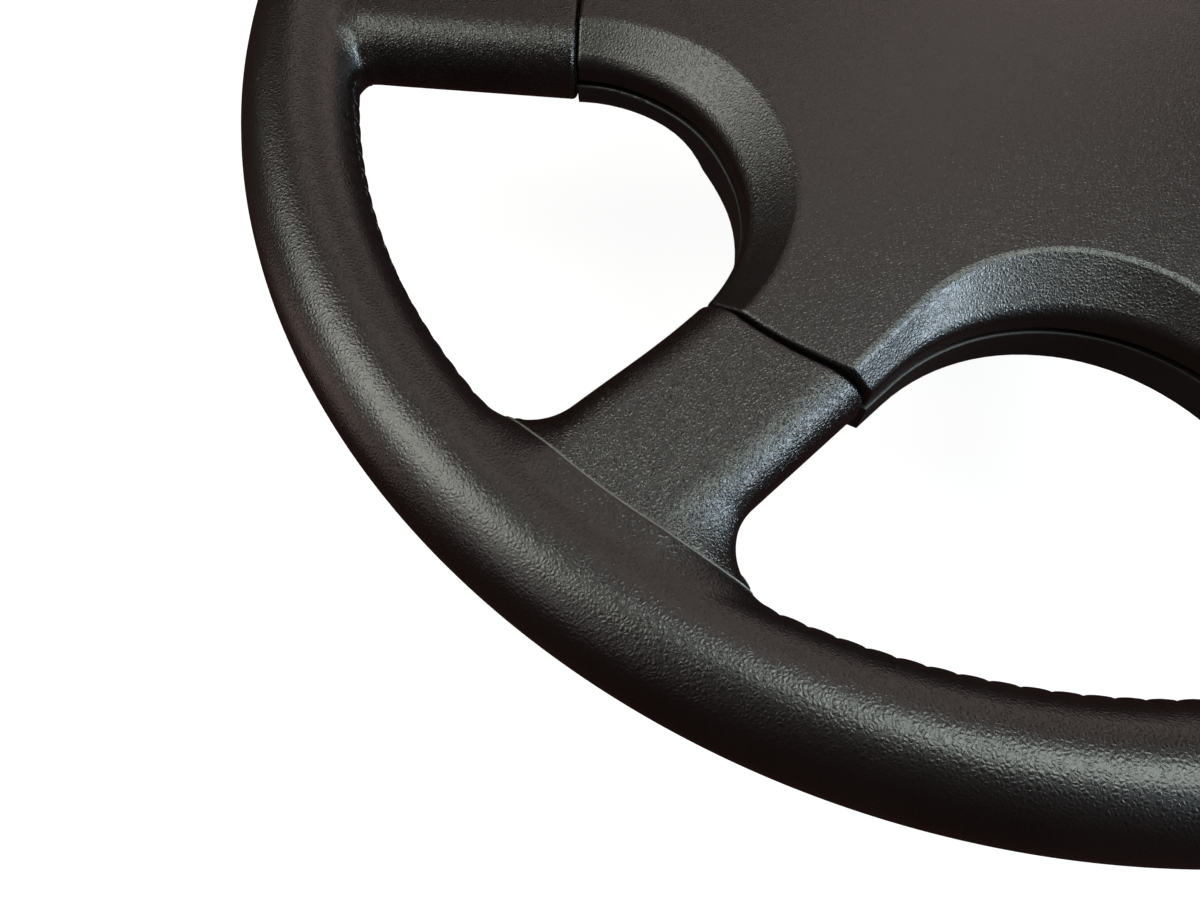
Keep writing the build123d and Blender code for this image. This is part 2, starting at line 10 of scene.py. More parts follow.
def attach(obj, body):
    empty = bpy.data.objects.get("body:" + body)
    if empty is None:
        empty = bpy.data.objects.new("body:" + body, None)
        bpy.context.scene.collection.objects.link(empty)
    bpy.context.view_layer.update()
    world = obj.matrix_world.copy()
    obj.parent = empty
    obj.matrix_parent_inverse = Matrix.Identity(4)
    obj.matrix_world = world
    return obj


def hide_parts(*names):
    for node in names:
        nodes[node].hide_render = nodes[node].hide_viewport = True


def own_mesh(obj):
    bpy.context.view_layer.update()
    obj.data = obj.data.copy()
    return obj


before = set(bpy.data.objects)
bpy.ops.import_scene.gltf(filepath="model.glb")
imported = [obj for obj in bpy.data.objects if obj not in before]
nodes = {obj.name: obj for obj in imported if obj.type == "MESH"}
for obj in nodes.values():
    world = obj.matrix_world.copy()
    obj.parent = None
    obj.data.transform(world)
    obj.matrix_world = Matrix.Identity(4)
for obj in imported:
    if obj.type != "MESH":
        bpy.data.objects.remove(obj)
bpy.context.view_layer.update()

MM = 0.001

# Sizes of the wheel in millimetres
RIM_PLANE = 80.0
RIM_RADIUS = 181.0
GRIP_RADIUS = 14.0
SEAM_RADIUS = 165.5
SPOKE_HALF = 10.5
SPOKE_EDGE = 9.5
UPPER_ROOT = 7.0
LOWER_ROOT = 14.5
UPPER_WIDTH = 41.5
UPPER_DROP = 0.25
LOWER_WIDTH = 41.0
LOWER_ANGLE = math.radians(46.0)
LOWER_CROSSING = 37.0
END_GAP = 0.8
PAD_END_X = 109.0
PAD_END_RADIUS = 117.0

# Sewing
STITCH_PITCH = 5.5
SEAM_HEIGHT = 0.8
THREAD_RADIUS = 0.32
WELT_RADIUS = 0.26
SLEEVE_ROLL = 1.3

# Leather grain, as shares of a pebble's size or of the grain's depth
PEBBLE_SLOPE = 0.42
WARP_SCALE = 0.6
WARP_AMOUNT = 0.9
PORE_SCALE = 2.1
PORE_DEPTH = 0.9
# Painted shade: the share of the base colour that is left in the grain's creases
CREASE_SHADE_TONE = 0.5
WEAR_TONE = 0.6

# Slow changes over the leather, per millimetre, and what they do
BROAD_SCALE = 0.07
BROAD_LEAST = 0.75
WEAR_SCALE = 0.02
HOLLOW_SCALE = 0.16
HOLLOW_DEPTH = 0.03
VALLEY_DULL = 0.04
PEBBLE_GLOSS = 0.05
WEAR_GLOSS = 0.02
LEATHER_IOR = 1.75

# Range of a noise that is spread over a whole change, and the range for patches
NOISE_LOW = 0.3
NOISE_HIGH = 0.7
PATCH_LOW = 0.35

# Plastic, metal, weave and thread: scales per millimetre, depths in millimetres, tones as shares of the base
PLASTIC_SCALE = 0.03
PLASTIC_TONE = 1.35
PLASTIC_DULL = 0.1
STAIN_SCALE = 0.05
STAIN_TONE = 0.7
STAIN_DULL = 0.15
WEAVE_SCALE = 0.05
WEAVE_WANDER = 0.4
WEAVE_DEPTH = 0.1
WEAVE_TONE = 0.6
STRAND_SCALE = 2.2
STRAND_DEPTH = 0.1
STRAND_TONE = 0.5


# Shader helpers
class Shader:
    """Small builder for one procedural material."""

    def __init__(self, name):
        self.material = bpy.data.materials.new(name)
        self.material.use_nodes = True
        self.tree = self.material.node_tree
        self.bsdf = self.tree.nodes["Principled BSDF"]
        self.coords = self.tree.nodes.new("ShaderNodeTexCoord").outputs["Object"]

    def set(self, **values):
        for name, value in values.items():
            self.bsdf.inputs[name.replace("_", " ")].default_value = value

    def link(self, source, target):
        self.tree.links.new(source, target)

    def noise(self, per_mm, detail=3.0, rough=0.55, vector=None):
        node = self.tree.nodes.new("ShaderNodeTexNoise")
        node.inputs["Scale"].default_value = per_mm / MM
        node.inputs["Detail"].default_value = detail
        node.inputs["Roughness"].default_value = rough
        self.link(vector or self.coords, node.inputs["Vector"])
        return node

    def voronoi(self, per_mm, feature, vector=None):
        node = self.tree.nodes.new("ShaderNodeTexVoronoi")
        node.feature = feature
        node.inputs["Scale"].default_value = per_mm / MM
        self.link(vector or self.coords, node.inputs["Vector"])
        return node

    def math(self, operation, a, b=None, c=None):
        node = self.tree.nodes.new("ShaderNodeMath")
        node.operation = operation
        for socket, value in zip(node.inputs, (a, b, c)):
            if value is None:
                continue
            if isinstance(value, (int, float)):
                socket.default_value = value
            else:
                self.link(value, socket)
        return node.outputs[0]

    def remap(self, value, low, high, out_low, out_high, smooth=False):
        node = self.tree.nodes.new("ShaderNodeMapRange")
        if smooth:
            node.interpolation_type = "SMOOTHSTEP"
        limits = (("From Min", low), ("From Max", high), ("To Min", out_low), ("To Max", out_high))
        for name, number in limits:
            node.inputs[name].default_value = number
        self.link(value, node.inputs["Value"])
        return node.outputs["Result"]

    def mix(self, factor, first, second):
        node = self.tree.nodes.new("ShaderNodeMix")
        node.data_type = "RGBA"
        self.link(factor, node.inputs["Factor"])
        for socket, colour in ((node.inputs["A"], first), (node.inputs["B"], second)):
            if isinstance(colour, tuple):
                socket.default_value = (*colour, 1.0)
            else:
                self.link(colour, socket)
        return node.outputs["Result"]

    def warp(self, per_mm, amount_mm):
        """Object coordinates pushed about by noise, so that cells lose their straight edges."""
        noise = self.noise(per_mm, 2.0)
        shift = self.tree.nodes.new("ShaderNodeVectorMath")
        shift.operation = "MULTIPLY_ADD"
        self.link(noise.outputs["Color"], shift.inputs[0])
        shift.inputs[1].default_value = (amount_mm * MM,) * 3
        self.link(self.coords, shift.inputs[2])
        return shift.outputs[0]

    def bump(self, height, depth_mm, after=None):
        node = self.tree.nodes.new("ShaderNodeBump")
        node.inputs["Distance"].default_value = depth_mm * MM
        self.link(height, node.inputs["Height"])
        if after is not None:
            self.link(after, node.inputs["Normal"])
        return node.outputs["Normal"]


def leather(name, cell_mm, depth_mm, base, worn, roughness):
    """Pebbled leather: rounded cells between fine creases, with pores, soft hollows, a little wear, and
    painted shade that darkens the creases.
    """
    s = Shader(name)
    warped = s.warp(WARP_SCALE / cell_mm, WARP_AMOUNT * cell_mm)
    cells = s.voronoi(1.0 / cell_mm, "DISTANCE_TO_EDGE", warped)
    pebble = s.remap(cells.outputs["Distance"], 0.0, PEBBLE_SLOPE, 0.0, 1.0, smooth=True)
    pores = s.noise(PORE_SCALE / cell_mm, 3.0)
    broad = s.noise(BROAD_SCALE, 3.0)
    wear = s.noise(WEAR_SCALE, 4.0, 0.6)
    strength = s.remap(broad.outputs["Fac"], NOISE_LOW, NOISE_HIGH, BROAD_LEAST, 1.0)
    grain = s.math("MULTIPLY", pebble, strength)
    grain = s.math("MULTIPLY_ADD", pores.outputs["Fac"], PORE_DEPTH, grain)
    hollows = s.noise(HOLLOW_SCALE, 2.0)
    slack = s.bump(hollows.outputs["Fac"], HOLLOW_DEPTH)
    s.link(s.bump(grain, depth_mm, slack), s.bsdf.inputs["Normal"])
    patch = s.remap(wear.outputs["Fac"], PATCH_LOW, NOISE_HIGH, 0.0, 1.0, smooth=True)
    # Painted shade: the base colour darkens in the creases between pebbles, then wear patches are mixed in
    shaded_grain = s.mix(pebble, tuple(CREASE_SHADE_TONE * c for c in base), base)
    s.link(s.mix(s.math("MULTIPLY", patch, WEAR_TONE), shaded_grain, worn), s.bsdf.inputs["Base Color"])
    gloss = s.math("MULTIPLY_ADD", pebble, -PEBBLE_GLOSS, roughness + VALLEY_DULL)
    gloss = s.math("MULTIPLY_ADD", patch, -WEAR_GLOSS, gloss)
    s.link(gloss, s.bsdf.inputs["Roughness"])
    s.set(IOR=LEATHER_IOR)
    return s.material


def moulded(name, base, grain_mm, depth_mm, roughness):
    """Moulded plastic with a fine spark texture and slight unevenness."""
    s = Shader(name)
    spark = s.noise(1.0 / grain_mm, 2.0)
    broad = s.noise(PLASTIC_SCALE, 3.0)
    s.link(s.bump(spark.outputs["Fac"], depth_mm), s.bsdf.inputs["Normal"])
    tone = s.remap(broad.outputs["Fac"], NOISE_LOW, NOISE_HIGH, 0.0, 1.0)
    s.link(s.mix(tone, base, tuple(PLASTIC_TONE * c for c in base)), s.bsdf.inputs["Base Color"])
    gloss = s.remap(broad.outputs["Fac"], NOISE_LOW, NOISE_HIGH, roughness, roughness + PLASTIC_DULL)
    s.link(gloss, s.bsdf.inputs["Roughness"])
    return s.material


def metal(name, base, roughness, grain_mm=0.4, depth_mm=0.02):
    """Bare or plated metal with a fine grain and stains."""
    s = Shader(name)
    grain = s.noise(1.0 / grain_mm, 3.0)
    stain = s.noise(STAIN_SCALE, 4.0)
    s.link(s.bump(grain.outputs["Fac"], depth_mm), s.bsdf.inputs["Normal"])
    tone = s.remap(stain.outputs["Fac"], PATCH_LOW, NOISE_HIGH, 0.0, 1.0)
    s.link(s.mix(tone, base, tuple(STAIN_TONE * c for c in base)), s.bsdf.inputs["Base Color"])
    gloss = s.remap(stain.outputs["Fac"], NOISE_LOW, NOISE_HIGH, roughness, roughness + STAIN_DULL)
    s.link(gloss, s.bsdf.inputs["Roughness"])
    s.set(Metallic=1.0)
    return s.material


def cloth(name, base, thread_mm):
    """Plain weave from two crossed waves."""
    s = Shader(name)
    waves = []
    for axis in ("X", "Y"):
        wave = s.tree.nodes.new("ShaderNodeTexWave")
        wave.bands_direction = axis
        wave.inputs["Scale"].default_value = WEAVE_SCALE / (thread_mm * MM)
        wave.inputs["Distortion"].default_value = WEAVE_WANDER
        s.link(s.coords, wave.inputs["Vector"])
        waves.append(wave.outputs["Fac"])
    weave = s.math("MAXIMUM", *waves)
    s.link(s.bump(weave, WEAVE_DEPTH), s.bsdf.inputs["Normal"])
    s.link(s.mix(weave, tuple(WEAVE_TONE * c for c in base), base), s.bsdf.inputs["Base Color"])
    s.set(Roughness=0.9)
    return s.material


def twisted(name, base):
    """Waxed sewing thread with the lay of its strands."""
    s = Shader(name)
    strands = s.noise(STRAND_SCALE, 2.0).outputs["Fac"]
    s.link(s.bump(strands, STRAND_DEPTH), s.bsdf.inputs["Normal"])
    s.link(s.mix(strands, tuple(STRAND_TONE * c for c in base), base), s.bsdf.inputs["Base Color"])
    s.set(Roughness=0.42)
    return s.material


# Materials of all pieces
BLACK = (0.0032, 0.0020, 0.0018)
WORN = (0.0058, 0.0041, 0.0037)
# Painted highlight: pale base colours for the welt on a lower sleeve's seam, standing in for the light that
# the seam's edge catches
SEAM_HIGHLIGHT_TONE = (0.17, 0.168, 0.158)
SEAM_HIGHLIGHT_WORN = (0.26, 0.256, 0.24)
rim_hide = leather("rim_hide", 0.95, 0.052, BLACK, WORN, 0.31)
spoke_hide = leather("spoke_hide", 0.72, 0.085, BLACK, WORN, 0.27)
pad_hide = leather("pad_hide", 0.8, 0.055, BLACK, WORN, 0.32)
# Painted highlight line along the lower sleeves' seams
highlit_welt_hide = leather("highlit_welt_hide", 0.5, 0.03, SEAM_HIGHLIGHT_TONE, SEAM_HIGHLIGHT_WORN, 0.4)
thread = twisted("thread", (0.008, 0.0068, 0.0064))
rear_plastic = moulded("rear_plastic", (0.0045, 0.0034, 0.0032), 0.45, 0.03, 0.42)
foam_skin = moulded("foam_skin", (0.03, 0.03, 0.03), 0.8, 0.08, 0.7)
insulator = moulded("insulator", (0.03, 0.03, 0.033), 0.3, 0.03, 0.45)
black_steel = metal("black_steel", (0.05, 0.05, 0.05), 0.4)
casting = metal("casting", (0.52, 0.52, 0.53), 0.55, 0.7, 0.08)
zinc = metal("zinc", (0.6, 0.6, 0.58), 0.35)
brass = metal("brass", (0.72, 0.52, 0.22), 0.3)
tray_paint = moulded("tray_paint", (0.05, 0.05, 0.05), 0.5, 0.03, 0.4)
bag_cloth = cloth("bag_cloth", (0.72, 0.7, 0.64), 0.5)

node_materials = {
    "armature": casting, "hub_insert": zinc, "rim_foam": foam_skin, "rear_cover": rear_plastic,
    "rear_cover_screws": black_steel, "pad_cover": pad_hide, "module_tray": tray_paint, "inflator": zinc,
    "cushion": bag_cloth, "cushion_ring": zinc, "inflator_nuts": zinc, "cover_rivets": zinc,
    "horn_carrier": zinc, "horn_standoffs": zinc, "module_screws": zinc, "horn_bushes": insulator,
    "horn_posts": zinc, "horn_springs": zinc, "horn_contact": brass, "contact_insulator": insulator,
    "slip_plate": insulator, "slip_ring": brass,
}
for name, material in node_materials.items():
    mesh = nodes[name].data
    mesh.materials.clear()
    mesh.materials.append(material)


def linked(name, data):
    """New object in the scene."""
    item = bpy.data.objects.new(name, data)
    bpy.context.scene.collection.objects.link(item)
    return item


def smooth_step(value, low, high):
    """Rises smoothly from 0 at the low value to 1 at the high one."""
    t = np.clip((value - low) / (high - low), 0, 1)
    return t * t * (3 - 2 * t)


# The wrapped form as a distance field, in millimetres about the rim's centre
lower_lean = LOWER_CROSSING * math.sin(LOWER_ANGLE)
lower_left = np.array([-math.cos(LOWER_ANGLE), -math.sin(LOWER_ANGLE)])
lower_right = np.array([math.cos(LOWER_ANGLE), -math.sin(LOWER_ANGLE)])
upper_origin = np.array([0.0, -UPPER_DROP])
lower_origin = np.array([0.0, -LOWER_CROSSING])
rim_centre = np.array([0, 0, RIM_PLANE])
SPOKE_START = 40.0
SPOKE_LIMIT = 200.0
WAIST_PLACE = 100.0
WAIST_LENGTH = 24.0
LOWER_WAIST = 1.7
TAPER_MIDDLE = 136.0
TAPER_REACH = 27.0
UPPER_TAPER = 1.2
UPPER_GATHER = 0.9
LOWER_GATHER = 0.25
GATHER_PITCH = 5.0
GATHER_SPREAD = 4.5
GATHER_SHARE = 0.35
GATHER_SIDE = (0.3, 0.55)
CREASE_SHARE = 0.8
CREASE_WIDTH = 1.3
HALVINGS = 26
TINY = 1e-6

# A spoke's root is the radius of its hollow at the rim, and its gather is the depth of the gathers there.
# Its waist is a hollow on one of its sides, and its taper is what it loses on each side towards the rim.
Spoke = namedtuple("Spoke", "origin direction width root gather waist taper")
UPPER_SIDES = ("left", "right")
upper_left = np.array([-1.0, 0.0])
upper_right = np.array([1.0, 0.0])
SPOKES = {
    "left": Spoke(upper_origin, upper_left, UPPER_WIDTH, UPPER_ROOT, UPPER_GATHER, 0.0, UPPER_TAPER),
    "right": Spoke(upper_origin, upper_right, UPPER_WIDTH, UPPER_ROOT, UPPER_GATHER, 0.0, UPPER_TAPER),
    "lower_left": Spoke(lower_origin, lower_left, LOWER_WIDTH, LOWER_ROOT, LOWER_GATHER, -LOWER_WAIST, 0.0),
    "lower_right": Spoke(lower_origin, lower_right, LOWER_WIDTH, LOWER_ROOT, LOWER_GATHER, LOWER_WAIST, 0.0),
}


def spoke_frame(points, spoke):
    """Distance along a spoke, and offset to its side."""
    direction = spoke.direction
    offset = points[..., :2] - spoke.origin
    return offset @ direction, offset[..., 1] * direction[0] - offset[..., 0] * direction[1]


def ring_distance(points):
    """Distance to the bare rim, and its outward direction."""
    radius = np.hypot(points[..., 0], points[..., 1])
    spread = radius - RIM_RADIUS
    reach = np.maximum(np.hypot(spread, points[..., 2]), TINY)
    outward = points[..., :2] * (spread / reach / radius)[..., None]
    return reach - GRIP_RADIUS, np.concatenate([outward, (points[..., 2] / reach)[..., None]], -1)


def bar_distance(points, spoke):
    """Distance to a round-edged spoke that ends at the rim's centre line, and its outward direction."""
    direction = spoke.direction
    along, lateral = spoke_frame(points, spoke)
    hollow = np.where(lateral * spoke.waist > 0, abs(spoke.waist), 0)
    waist = hollow * np.exp(-((along - WAIST_PLACE) / WAIST_LENGTH)**2)
    waist = waist + spoke.taper * np.clip((along - TAPER_MIDDLE) / TAPER_REACH, -1, 1)
    across = np.abs(lateral) + waist - (spoke.width / 2 - SPOKE_EDGE)
    high = np.abs(points[..., 2]) - (SPOKE_HALF - SPOKE_EDGE)
    outside = np.hypot(np.maximum(across, 0), np.maximum(high, 0))
    flat = outside + np.minimum(np.maximum(across, high), 0) - SPOKE_EDGE
    beside = np.where(outside > 0, np.maximum(across, 0) / np.maximum(outside, TINY), across > high)
    above = np.sqrt(1 - beside**2) * np.sign(points[..., 2])
    sideways = np.array([-direction[1], direction[0]]) * (beside * np.sign(lateral))[..., None]
    radius = np.hypot(points[..., 0], points[..., 1])
    cap = (radius - RIM_RADIUS > flat)[..., None]
    outward = np.concatenate([sideways, above[..., None]], -1)
    radial = np.concatenate([points[..., :2] / radius[..., None], 0 * above[..., None]], -1)
    return np.maximum(flat, radius - RIM_RADIUS), np.where(cap, radial, outward)


def rounded_union(first, second, cosine, root):
    """Union of two distances whose directions have this cosine, with a hollow root of this radius."""
    u = root - first
    v = root - second
    between = (u > cosine * v) & (v > cosine * u)
    gap = np.sqrt(np.maximum(u**2 + v**2 - 2 * cosine * u * v, 0) / np.maximum(1 - cosine**2, TINY))
    return np.where(between, root - gap, np.minimum(first, second))


def gathers(points, spoke):
    """Depth of the gathers that the seam pulls into the leather at the sides of a spoke's root."""
    _, lateral = spoke_frame(points, spoke)
    turn = np.arctan2(points[..., 2], lateral)
    arc = turn * spoke.width / 2
    ripple = 0.5 + 0.5 * np.cos(2 * math.pi * arc / GATHER_PITCH)
    radius = np.hypot(points[..., 0], points[..., 1])
    near = np.exp(-((radius - SEAM_RADIUS) / GATHER_SPREAD)**2)
    side = smooth_step(np.abs(lateral), *(share * spoke.width for share in GATHER_SIDE))
    crease = CREASE_SHARE * np.exp(-((radius - SEAM_RADIUS) / CREASE_WIDTH)**2)
    return spoke.gather * side * (GATHER_SHARE * near * ripple + crease)


def wrapped_distance(points):
    """Rim and spokes joined with rounded roots."""
    ring, ring_way = ring_distance(points)
    inner = np.hypot(points[..., 0], points[..., 1]) < RIM_RADIUS
    best = ring
    for spoke in SPOKES.values():
        bar, bar_way = bar_distance(points, spoke)
        joined = rounded_union(ring, bar, (ring_way * bar_way).sum(-1), spoke.root)
        along, lateral = spoke_frame(points, spoke)
        inside = inner & (along > SPOKE_START) & (np.abs(lateral) < spoke.width)
        best = np.where(inside, np.minimum(best, joined + gathers(points, spoke)), best)
    return best


def march(field, start, step, low, high):
    """Distance along each ray at which the field turns positive, by halving."""
    low = np.full(start.shape[:-1], float(low))
    high = np.full(start.shape[:-1], float(high))
    for _ in range(HALVINGS):
        middle = (low + high) / 2
        out = field(start + middle[..., None] * step) > 0
        high = np.where(out, middle, high)
        low = np.where(out, low, middle)
    return (low + high) / 2


def finish_mesh(name, points, faces, material):
    """Smooth mesh object from points in millimetres about the rim's centre."""
    placed = (np.reshape(points, (-1, 3)) + rim_centre) * MM
    mesh = bpy.data.meshes.new(name)
    mesh.from_pydata(placed.tolist(), [], faces)
    tidy = bmesh.new()
    tidy.from_mesh(mesh)
    bmesh.ops.recalc_face_normals(tidy, faces=tidy.faces)
    tidy.to_mesh(mesh)
    tidy.free()
    mesh.shade_smooth()
    mesh.materials.append(material)
    item = linked(name, mesh)
    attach(item, "wheel")
    return item


def grid_faces(rows, columns, wrap_rows, first=0):
    """Quads over a grid whose columns close on themselves, and flat caps if its rows don't."""
    index = first + np.arange(rows * columns).reshape(rows, columns)
    below = np.roll(index, -1, 0)
    if not wrap_rows:
        below = below[:-1]
    upper = index[:len(below)]
    quads = np.stack([upper, np.roll(upper, -1, 1), np.roll(below, -1, 1), below], -1)
    faces = quads.reshape(-1, 4).tolist()
    if not wrap_rows:
        faces.append(index[0, ::-1].tolist())
        faces.append(index[-1].tolist())
    return faces


TUBE_SIDES = 8
TUBE_END = 0.12


def tubes(name, paths, radius, material, closed=False):
    """One mesh of round tubes along paths, each an array of points with its surface normals."""
    points = []
    faces = []
    first = 0
    for path, normals in paths:
        if closed:
            tangent = np.roll(path, -1, 0) - np.roll(path, 1, 0)
        else:
            tangent = np.gradient(path, axis=0)
        tangent /= np.linalg.norm(tangent, axis=1, keepdims=True)
        side = np.cross(tangent, normals)
        side /= np.linalg.norm(side, axis=1, keepdims=True)
        top = np.cross(side, tangent)
        turn = np.linspace(0, 2 * math.pi, TUBE_SIDES, endpoint=False)
        swell = np.ones(len(path))
        if not closed:
            swell = np.sqrt(np.sin(np.linspace(TUBE_END, math.pi - TUBE_END, len(path))))
        ring = np.cos(turn)[None, :, None] * side[:, None] + np.sin(turn)[None, :, None] * top[:, None]
        points.append((path[:, None] + radius * swell[:, None, None] * ring).reshape(-1, 3))
        faces += grid_faces(len(path), TUBE_SIDES, closed, first)
        first += len(path) * TUBE_SIDES
    return finish_mesh(name, np.concatenate(points), faces, material)


# Pad and rear cover: copies of the solids, eased outwards round the side scallops
SCALLOP_X = 107.9
SCALLOP_Y = -64.5
EASE_ARM = 4.4
EASE_ARM_WAY = (0.35, 1.0)
EASE_SIDE = 2.6
EASE_END = 1.2
EASE_END_X = (88.0, 109.0)
EASE_END_WAY = 0.5
EASE_FADE = (50.5, 70.0)
BELLY_SHARE = 0.6
BELLY_WAY = (0.6, 0.95)
BELLY_FADE = (41.0, 46.0)
COVER_TOP = 78.7
COVER_FLOOR = 69.5
COVER_LEVELS = (70.5, 71.5, 73.0, 74.5, 76.0, 77.2)
SHARP_ANGLE = math.radians(28)


def eased(points, rounding):
    """Points in millimetres, moved away from the middle of the nearer side scallop."""
    offset = np.stack([np.abs(points[:, 0]) - SCALLOP_X, points[:, 1] - SCALLOP_Y], -1)
    distance = np.linalg.norm(offset, axis=1)
    way = offset / distance[:, None]
    shift = EASE_SIDE + (EASE_ARM - EASE_SIDE) * smooth_step(way[:, 1], *EASE_ARM_WAY)
    shift = shift + EASE_END * smooth_step(np.abs(points[:, 0]), *EASE_END_X) * (way[:, 1] > EASE_END_WAY)
    shift = shift * (1 - smooth_step(distance, *EASE_FADE))
    radius = COVER_TOP - COVER_FLOOR
    drop = np.clip(COVER_TOP - points[:, 2], 0, radius)
    belly = rounding * (radius - np.sqrt(radius**2 - drop**2)) * smooth_step(way[:, 1], *BELLY_WAY)
    shift = shift + belly * (1 - smooth_step(distance, *BELLY_FADE))
    moved = points.copy()
    moved[:, 0] += np.where(points[:, 0] < 0, -1, 1) * shift * way[:, 0]
    moved[:, 1] += shift * way[:, 1]
    return moved


def reshaped_copy(name, node, body, levels, reshape, exposed=None, rounds=1):
    """Copy of a node's mesh, cut at some levels and wherever an edge stays exposed, and reshaped."""
    source = nodes[node]
    mesh = source.data.copy()
    mesh.name = name
    mesh.transform(source.matrix_world)
    cut = bmesh.new()
    cut.from_mesh(mesh)
    for level in levels:
        geometry = cut.verts[:] + cut.edges[:] + cut.faces[:]
        bmesh.ops.bisect_plane(cut, geom=geometry, plane_co=(0, 0, level * MM), plane_no=(0, 0, 1))
    for turn in range(rounds):
        if turn:
            middles = np.array([(e.verts[0].co + e.verts[1].co) / 2 for e in cut.edges]) / MM
            split = [edge for edge, shows in zip(cut.edges, exposed(middles)) if shows]
            bmesh.ops.subdivide_edges(cut, edges=split, cuts=1)
            bmesh.ops.triangulate(cut, faces=cut.faces[:])
        places = reshape(np.array([v.co for v in cut.verts]) / MM) * MM
        for vertex, place in zip(cut.verts, places):
            vertex.co = place
    cut.to_mesh(mesh)
    cut.free()
    mesh.shade_smooth()
    mesh.set_sharp_from_angle(angle=SHARP_ANGLE)
    item = linked(name, mesh)
    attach(item, body)
    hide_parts(node)
    return item


reshaped_copy("horn_pad_skin", "pad_cover", "horn_pad", (), lambda points: eased(points, 0.0))
reshaped_copy("rear_shell", "rear_cover", "wheel", COVER_LEVELS, lambda points: eased(points, BELLY_SHARE))

# Springs: a copy of the solid, with a mesh of its own
coils = reshaped_copy("spring_coils", "horn_springs", "wheel", (), lambda points: points)
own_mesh(coils)

# Foam: a copy of the solid, drawn in under the leather
FOAM_DEPTH = 2.8
FOAM_SLACK = 0.1
FOAM_ROUNDS = 5
FOAM_PASSES = 4
FOAM_STEP = 0.05
LEAST_SLOPE = 0.2


def under_leather(points):
    """Points in millimetres, moved inwards until they lie well below the leather's outer face."""
    places = points - rim_centre
    for _ in range(FOAM_PASSES):
        depth = wrapped_distance(places)
        slopes = [wrapped_distance(places + FOAM_STEP * axis) - depth for axis in np.eye(3)]
        slope = np.stack(slopes, -1) / FOAM_STEP
        slope /= np.maximum(np.linalg.norm(slope, axis=1, keepdims=True), LEAST_SLOPE)
        places = places - np.maximum(depth + FOAM_DEPTH, 0)[:, None] * slope
    return places + rim_centre


def near_leather(points):
    """Whether points in millimetres lie too near the leather's outer face."""
    return wrapped_distance(points - rim_centre) > FOAM_SLACK - FOAM_DEPTH


reshaped_copy("foam_core", "rim_foam", "wheel", (), under_leather, near_leather, FOAM_ROUNDS)

# Rim leather: rays from the rim's centre line, with the inner seam drawn in
STITCHES = round(2 * math.pi * (RIM_RADIUS - GRIP_RADIUS) / STITCH_PITCH)
COLUMNS_PER_STITCH = 7
RING_ROWS = 70
SEAM_CROWDING = 0.45
RAY_LIMITS = (4.0, 40.0)
FREE_LIMITS = (0.05, 0.6)
DIP_DEPTH = 0.6
DIP_LIMITS = (SEAM_RADIUS - 2.2, SEAM_RADIUS + 0.1)
SEAM_LAP = 7
GROOVE_DEPTH = 0.7
GROOVE_WIDTH = 0.7
TROUGH_DEPTH = 0.3
TROUGH_WIDTH = 2.2
PUCKER_DEPTH = 0.8
PUCKER_WIDTH = 4.0
PUCKER_POWER = 1.5
SWELL_HEIGHT = 0.3
SWELL_PLACE = 3.2
SWELL_WIDTH = 2.0
seam_angle = math.pi - math.asin(SEAM_HEIGHT / GRIP_RADIUS)


def rim_field(points):
    """Rim form that dips a little where it runs under a spoke's sleeve."""
    radius = np.hypot(points[..., 0], points[..., 1])
    dip = DIP_DEPTH * (1 - smooth_step(radius, *DIP_LIMITS))
    return np.maximum(wrapped_distance(points) + dip, SEAM_RADIUS - SEAM_LAP - radius)


def rim_surface(turn, angle, lift=0.0):
    """Points of the rim's skin, their outward rays, and how free the seam is of a spoke."""
    centre = np.stack([RIM_RADIUS * np.cos(turn), RIM_RADIUS * np.sin(turn), 0 * turn], -1)
    ray = np.stack([np.cos(turn) * np.cos(angle), np.sin(turn) * np.cos(angle), np.sin(angle)], -1)
    reach = march(rim_field, centre, ray, *RAY_LIMITS)
    arc = (angle - seam_angle) * GRIP_RADIUS
    free = 1 - smooth_step(reach - GRIP_RADIUS, *FREE_LIMITS)
    groove = GROOVE_DEPTH * np.exp(-(arc / GROOVE_WIDTH)**2) + TROUGH_DEPTH * np.exp(-(arc / TROUGH_WIDTH)**2)
    notch = 1 - np.sqrt(np.abs(np.sin(turn * STITCHES / 2)))
    pucker = PUCKER_DEPTH * notch * np.exp(-(np.abs(arc) / PUCKER_WIDTH)**PUCKER_POWER)
    swell = SWELL_HEIGHT * np.exp(-((np.abs(arc) - SWELL_PLACE) / SWELL_WIDTH)**2)
    reach = reach - free * (groove + pucker - swell)
    return centre + (reach + lift)[..., None] * ray, ray, free


turns = np.linspace(0, 2 * math.pi, COLUMNS_PER_STITCH * STITCHES, endpoint=False)
spread = np.linspace(-1, 1, RING_ROWS, endpoint=False)
ring_angles = seam_angle + math.pi * ((1 - SEAM_CROWDING) * spread + SEAM_CROWDING * spread**3)
skin_points, _, _ = rim_surface(*np.meshgrid(turns, ring_angles, indexing="ij"))
rim_skin = finish_mesh("rim_skin", skin_points, grid_faces(*skin_points.shape[:2], True), rim_hide)
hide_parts("rim_leather")

